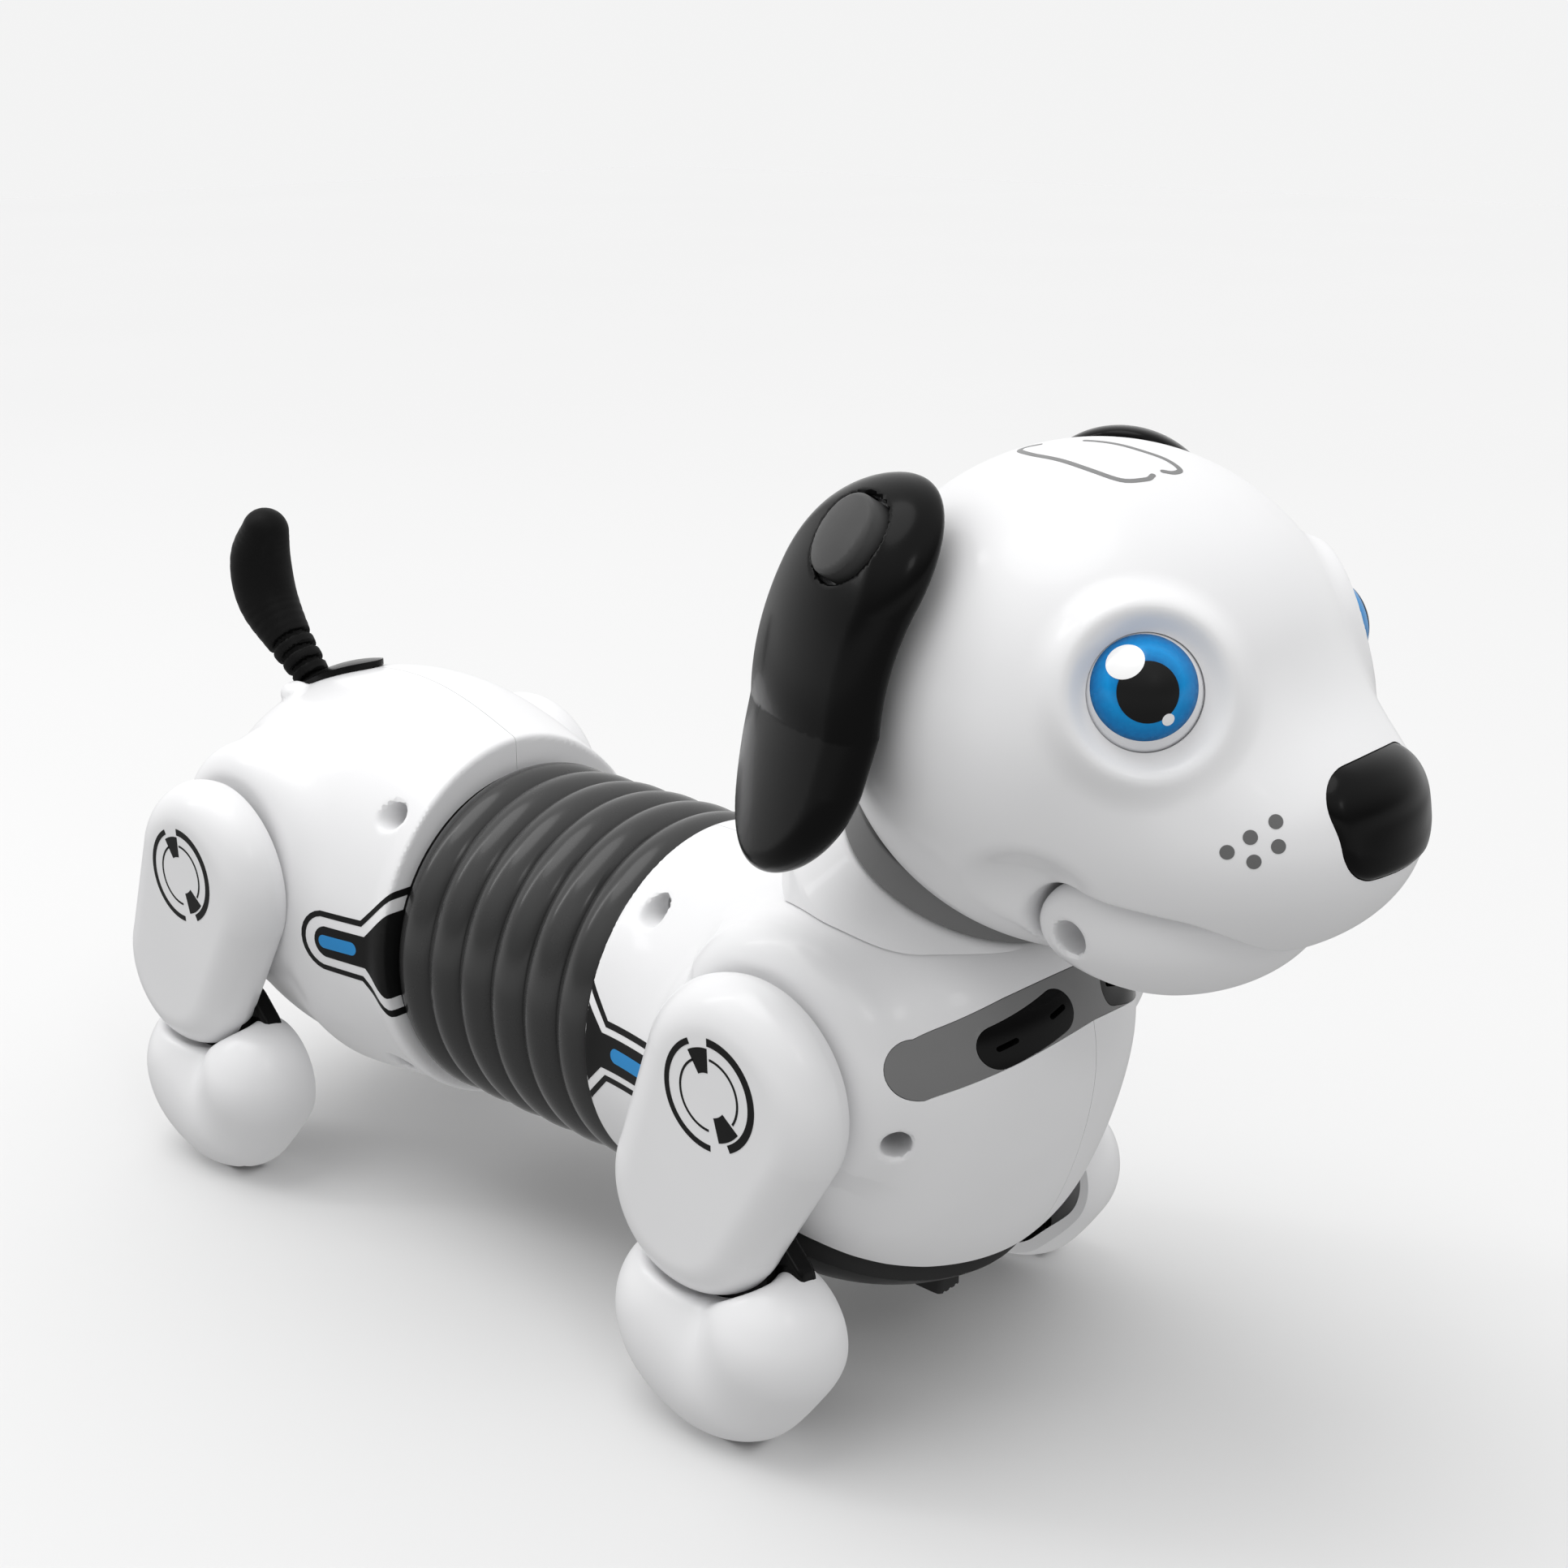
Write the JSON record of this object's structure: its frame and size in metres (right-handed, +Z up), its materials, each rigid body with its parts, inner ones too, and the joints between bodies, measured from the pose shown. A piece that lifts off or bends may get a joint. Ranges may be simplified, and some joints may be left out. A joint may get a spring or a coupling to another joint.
{
  "type": "robot dog toy",
  "caption": "Robot dog toy with white shells, a ribbed dark bellows waist, swinging legs on rollers, a turning head with domed eyes, hanging black ears, an opening jaw and a soft black tail.",
  "frame": {"origin": "centre of the footprint on the floor, where the rollers stand", "axes": "+X towards the nose, +Y to the dog's left, +Z up"},
  "size_m": [0.2649, 0.0992, 0.1616],
  "materials": {
    "white_plastic": "glossy injection-moulded white shell",
    "black_plastic": "glossy black",
    "dark_grey_plastic": "satin dark grey",
    "mid_grey_plastic": "satin mid grey",
    "bellows_rubber": "soft dark grey rubber with a slight sheen",
    "tail_rubber": "soft black rubber",
    "eye_blue": "clear domed lens over a blue iris",
    "steel": "plain bright steel",
    "gear_white": "natural acetal",
    "board_green": "green solder mask",
    "cell_wrap": "blue shrink wrap"
  },
  "bodies": {
    "front_body": {"front_shell_left": "white_plastic", "front_shell_right": "white_plastic", "chest_band": "mid_grey_plastic", "sensor_window_left": "black_plastic", "sensor_window_right": "black_plastic", "belly_cover": "dark_grey_plastic", "neck_collar": "white_plastic", "neck_ring": "dark_grey_plastic", "bellows": "bellows_rubber", "waist_tongue": "black_plastic", "main_board": "board_green", "speaker": "black_plastic", "front_motor": "steel", "front_gear_plate": "gear_white", "front_leg_axle": "steel"},
    "power_switch": {"power_switch": "dark_grey_plastic"},
    "rear_body": {"rear_shell_left": "white_plastic", "rear_shell_right": "white_plastic", "battery_door": "white_plastic", "door_screw": "steel", "battery_pack": "cell_wrap", "waist_fork": "black_plastic", "waist_pin": "steel", "rear_motor": "steel", "rear_gear_plate": "gear_white", "rear_leg_axle": "steel", "tail_base": "black_plastic"},
    "tail": {"tail": "tail_rubber"},
    "head": {"head_face": "white_plastic", "head_back": "white_plastic", "neck_post": "black_plastic", "nose": "black_plastic", "eye_left": "eye_blue", "eye_right": "eye_blue", "ear_cap_left": "mid_grey_plastic", "ear_cap_right": "mid_grey_plastic"},
    "jaw": {"jaw": "white_plastic"},
    "ear_left": {"ear_left": "black_plastic"},
    "ear_right": {"ear_right": "black_plastic"},
    "leg_front_right": {"thigh_front_right": "white_plastic", "foot_front_right": "white_plastic", "leg_frame_front_right": "black_plastic"},
    "leg_front_left": {"thigh_front_left": "white_plastic", "foot_front_left": "white_plastic", "leg_frame_front_left": "black_plastic"},
    "roller_front_right": {"roller_front_right": "black_plastic"},
    "roller_front_left": {"roller_front_left": "black_plastic"},
    "front_crank_gear": {"front_crank_gear": "gear_white"},
    "front_pinion": {"front_pinion": "gear_white"},
    "leg_rear_right": {"thigh_rear_right": "white_plastic", "foot_rear_right": "white_plastic", "leg_frame_rear_right": "black_plastic"},
    "leg_rear_left": {"thigh_rear_left": "white_plastic", "foot_rear_left": "white_plastic", "leg_frame_rear_left": "black_plastic"},
    "roller_rear_right": {"roller_rear_right": "black_plastic"},
    "roller_rear_left": {"roller_rear_left": "black_plastic"},
    "rear_crank_gear": {"rear_crank_gear": "gear_white"},
    "rear_pinion": {"rear_pinion": "gear_white"}
  },
  "joints": [
    {"name": "waist_bend", "type": "hinge", "parent": "front_body", "child": "rear_body", "pos_m": [-0.02195, 0, 0.0518], "axis": [0, 0, 1], "range_deg": [-12, 12], "stiffness_Nm_per_rad": 0.05, "deforming": ["bellows"]},
    {"name": "head_turn", "type": "hinge", "parent": "front_body", "child": "head", "pos_m": [0.0568, 0, 0.0875], "axis": [0.4226, 0, 0.9063], "range_deg": [-25, 25]},
    {"name": "jaw_open", "type": "hinge", "parent": "head", "child": "jaw", "pos_m": [0.0968, 0, 0.0963], "axis": [0, 1, 0], "range_deg": [0, 12]},
    {"name": "ear_left_swing", "type": "hinge", "parent": "head", "child": "ear_left", "pos_m": [0.06556, 0.03542, 0.14884], "axis": [-0.34, 0.77, 0.54], "range_deg": [-10, 20]},
    {"name": "ear_right_swing", "type": "hinge", "parent": "head", "child": "ear_right", "pos_m": [0.06556, -0.03542, 0.14884], "axis": [0.34, 0.77, -0.54], "range_deg": [-10, 20]},
    {"name": "tail_wag", "type": "hinge", "parent": "rear_body", "child": "tail", "pos_m": [-0.1083, 0, 0.0885], "axis": [1, 0, 0], "range_deg": [-20, 20], "stiffness_Nm_per_rad": 0.05},
    {"name": "switch_slide", "type": "slide", "parent": "front_body", "child": "power_switch", "axis": [0, 1, 0], "range_m": [-0.002, 0.002]},
    {"name": "leg_front_right_swing", "type": "hinge", "parent": "front_body", "child": "leg_front_right", "pos_m": [0.0475, -0.04, 0.064], "axis": [0, 1, 0], "range_deg": [-12, 12]},
    {"name": "leg_front_left_swing", "type": "hinge", "parent": "front_body", "child": "leg_front_left", "pos_m": [0.0475, 0.04, 0.064], "axis": [0, 1, 0], "range_deg": [-12, 12]},
    {"name": "roller_front_right_spin", "type": "hinge", "parent": "leg_front_right", "child": "roller_front_right", "pos_m": [0.0445, -0.04, 0.0056], "axis": [0, 1, 0], "continuous": true},
    {"name": "roller_front_left_spin", "type": "hinge", "parent": "leg_front_left", "child": "roller_front_left", "pos_m": [0.0445, 0.04, 0.0056], "axis": [0, 1, 0], "continuous": true},
    {"name": "front_crank_spin", "type": "hinge", "parent": "front_body", "child": "front_crank_gear", "pos_m": [0.0465, 0.0075, 0.044], "axis": [0, 1, 0], "continuous": true},
    {"name": "front_pinion_spin", "type": "hinge", "parent": "front_body", "child": "front_pinion", "pos_m": [0.03035, 0.0075, 0.044], "axis": [0, 1, 0], "continuous": true},
    {"name": "leg_rear_right_swing", "type": "hinge", "parent": "rear_body", "child": "leg_rear_right", "pos_m": [-0.0912, -0.04, 0.064], "axis": [0, 1, 0], "range_deg": [-12, 12]},
    {"name": "leg_rear_left_swing", "type": "hinge", "parent": "rear_body", "child": "leg_rear_left", "pos_m": [-0.0912, 0.04, 0.064], "axis": [0, 1, 0], "range_deg": [-12, 12]},
    {"name": "roller_rear_right_spin", "type": "hinge", "parent": "leg_rear_right", "child": "roller_rear_right", "pos_m": [-0.0922, -0.04, 0.0056], "axis": [0, 1, 0], "continuous": true},
    {"name": "roller_rear_left_spin", "type": "hinge", "parent": "leg_rear_left", "child": "roller_rear_left", "pos_m": [-0.0922, 0.04, 0.0056], "axis": [0, 1, 0], "continuous": true},
    {"name": "rear_crank_spin", "type": "hinge", "parent": "rear_body", "child": "rear_crank_gear", "pos_m": [-0.0892, 0.0075, 0.044], "axis": [0, 1, 0], "continuous": true},
    {"name": "rear_pinion_spin", "type": "hinge", "parent": "rear_body", "child": "rear_pinion", "pos_m": [-0.07305, 0.0075, 0.044], "axis": [0, 1, 0], "continuous": true}
  ],
  "couplings": [
    {"joint": "leg_front_left_swing", "follows": "leg_front_right_swing", "ratio": -1},
    {"joint": "front_pinion_spin", "follows": "front_crank_spin", "ratio": -3},
    {"joint": "leg_rear_left_swing", "follows": "leg_rear_right_swing", "ratio": -1},
    {"joint": "rear_pinion_spin", "follows": "rear_crank_spin", "ratio": -3}
  ]
}
